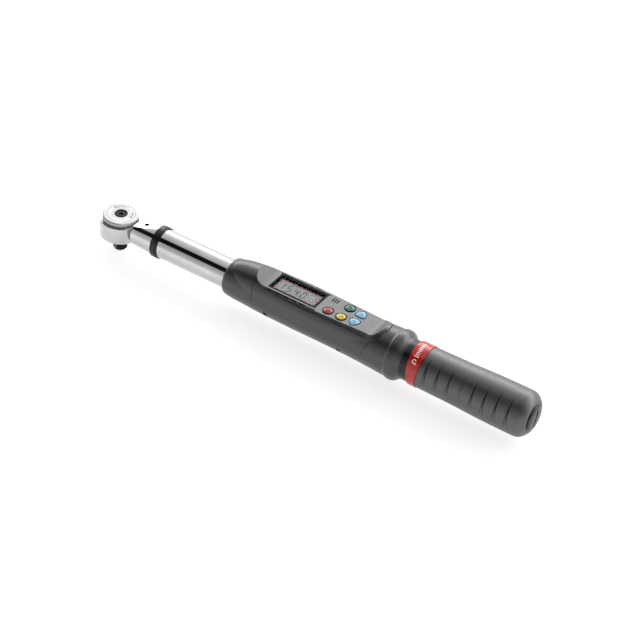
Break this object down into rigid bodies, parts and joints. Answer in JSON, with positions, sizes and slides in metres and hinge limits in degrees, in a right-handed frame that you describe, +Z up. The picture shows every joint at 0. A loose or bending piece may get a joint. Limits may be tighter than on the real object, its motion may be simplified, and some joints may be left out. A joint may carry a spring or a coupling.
{
  "type": "electronic torque wrench",
  "caption": "Slim electronic torque wrench with a round reversible ratchet head, chromed tube, display and keys in a moulded housing, and a grooved rubber grip.",
  "frame": {"origin": "where the axis of the drive square crosses the tool's centre line", "axes": "+X along the tool to the end of the handle, +Z up through the display, -Z out of the drive square"},
  "size_m": [0.4072, 0.0422, 0.0453],
  "materials": {
    "chrome": "polished chrome plate on steel",
    "satin_chrome": "satin chrome plate",
    "black_steel": "black phosphated steel",
    "spring_steel": "bright spring steel",
    "housing_plastic": "fine-textured moulded nylon",
    "black_plastic": "moulded black plastic",
    "grip_rubber": "moulded thermoplastic rubber",
    "red_plastic": "moulded red plastic",
    "lens": "clear polycarbonate",
    "lcd": "liquid crystal display",
    "board": "green solder mask on glass-epoxy",
    "chip": "black epoxy",
    "gold_foil": "gauge foil and plated contact",
    "beam_steel": "ground alloy steel",
    "silicone": "moulded silicone",
    "white_plastic": "natural polypropylene",
    "cell_wrap": "printed cell sleeve, left plain",
    "wire_red": "red wire insulation",
    "key_red": "translucent red key cap",
    "key_yellow": "yellow key cap",
    "key_green": "green key cap",
    "key_blue": "light blue key cap"
  },
  "bodies": {
    "wrench": {"ratchet_housing": "chrome", "neck": "chrome", "neck_ring": "black_plastic", "main_tube": "chrome", "sensor_beam": "beam_steel", "strain_gauges": "gold_foil", "beam_pin": "spring_steel", "sensor_lead": "wire_red", "housing_upper": "housing_plastic", "housing_lower": "housing_plastic", "housing_screws": "black_steel", "display_bezel": "black_plastic", "display_lens": "lens", "lcd_module": "lcd", "circuit_board": "board", "board_chips": "chip", "buzzer": "chip", "dome_switches": "spring_steel", "key_mat": "silicone", "handle_core": "black_plastic", "marker_band": "red_plastic", "grip_sleeve": "grip_rubber", "battery_sleeve": "white_plastic", "batteries": "cell_wrap", "contact_spring": "spring_steel", "battery_lead": "wire_red", "lock_spring": "spring_steel"},
    "drive": {"drive_spindle": "black_steel", "spindle_circlip": "spring_steel", "pawl_pins": "spring_steel", "pawl_springs": "spring_steel", "disc_snap_ring": "spring_steel", "disc_detent_ball": "spring_steel", "disc_detent_spring": "spring_steel", "button_spring": "spring_steel"},
    "pawl_left": {"pawl_left": "beam_steel"},
    "pawl_right": {"pawl_right": "beam_steel"},
    "reversing_disc": {"reversing_disc": "satin_chrome"},
    "release_button": {"release_button": "black_steel"},
    "drive_ball": {"drive_ball": "spring_steel"},
    "lock_pin": {"lock_pin": "black_steel"},
    "key_power": {"key_power": "key_red"},
    "key_units": {"key_units": "key_yellow"},
    "key_memory": {"key_memory": "key_green"},
    "key_up": {"key_up": "key_blue"},
    "key_down": {"key_down": "key_blue"},
    "cap_contact": {"cap_contact": "gold_foil"},
    "end_cap": {"end_cap": "black_plastic", "cap_seal": "grip_rubber"}
  },
  "joints": [
    {"name": "drive_turn", "type": "hinge", "parent": "wrench", "child": "drive", "pos_m": [0, 0, 0], "axis": [0, 0, 1], "continuous": true},
    {"name": "direction_disc", "type": "hinge", "parent": "drive", "child": "reversing_disc", "pos_m": [0, 0, 0], "axis": [0, 0, 1], "range_deg": [0, 30]},
    {"name": "pawl_left_swing", "type": "hinge", "parent": "drive", "child": "pawl_left", "pos_m": [-0.00752, -0.00351, 0], "axis": [0, 0, 1], "range_deg": [0, 12]},
    {"name": "pawl_right_swing", "type": "hinge", "parent": "drive", "child": "pawl_right", "pos_m": [-0.00752, 0.00351, 0], "axis": [0, 0, 1], "range_deg": [0, 12]},
    {"name": "release_press", "type": "slide", "parent": "drive", "child": "release_button", "axis": [0, 0, -1], "range_m": [0, 0.0026], "stiffness_N_per_m": 600, "springref_m": -0.002, "deforming": ["button_spring"]},
    {"name": "ball_retract", "type": "slide", "parent": "drive", "child": "drive_ball", "axis": [0.4695, 0.8829, 0], "range_m": [0, 0.0009]},
    {"name": "lock_pin_press", "type": "slide", "parent": "wrench", "child": "lock_pin", "axis": [0, 0, -1], "range_m": [0, 0.0028], "stiffness_N_per_m": 500, "springref_m": -0.002, "deforming": ["lock_spring"]},
    {"name": "cap_pull", "type": "slide", "parent": "wrench", "child": "cap_contact", "axis": [1, 0, 0], "range_m": [0, 0.02]},
    {"name": "cap_turn", "type": "hinge", "parent": "cap_contact", "child": "end_cap", "pos_m": [0.385, 0, 0], "axis": [1, 0, 0], "range_deg": [0, 90]},
    {"name": "key_power_press", "type": "slide", "parent": "wrench", "child": "key_power", "axis": [0, 0, -1], "range_m": [0, 0.0008], "stiffness_N_per_m": 1500, "springref_m": -0.0003},
    {"name": "key_units_press", "type": "slide", "parent": "wrench", "child": "key_units", "axis": [0, 0, -1], "range_m": [0, 0.0008], "stiffness_N_per_m": 1500, "springref_m": -0.0003},
    {"name": "key_memory_press", "type": "slide", "parent": "wrench", "child": "key_memory", "axis": [0, 0, -1], "range_m": [0, 0.0008], "stiffness_N_per_m": 1500, "springref_m": -0.0003},
    {"name": "key_up_press", "type": "slide", "parent": "wrench", "child": "key_up", "axis": [0, 0, -1], "range_m": [0, 0.0008], "stiffness_N_per_m": 1500, "springref_m": -0.0003},
    {"name": "key_down_press", "type": "slide", "parent": "wrench", "child": "key_down", "axis": [0, 0, -1], "range_m": [0, 0.0008], "stiffness_N_per_m": 1500, "springref_m": -0.0003}
  ],
  "couplings": [
    {"joint": "pawl_left_swing", "follows": "direction_disc", "ratio": 0.4},
    {"joint": "pawl_right_swing", "follows": "direction_disc", "ratio": 0.4},
    {"joint": "ball_retract", "follows": "release_press", "ratio": 0.34615}
  ]
}
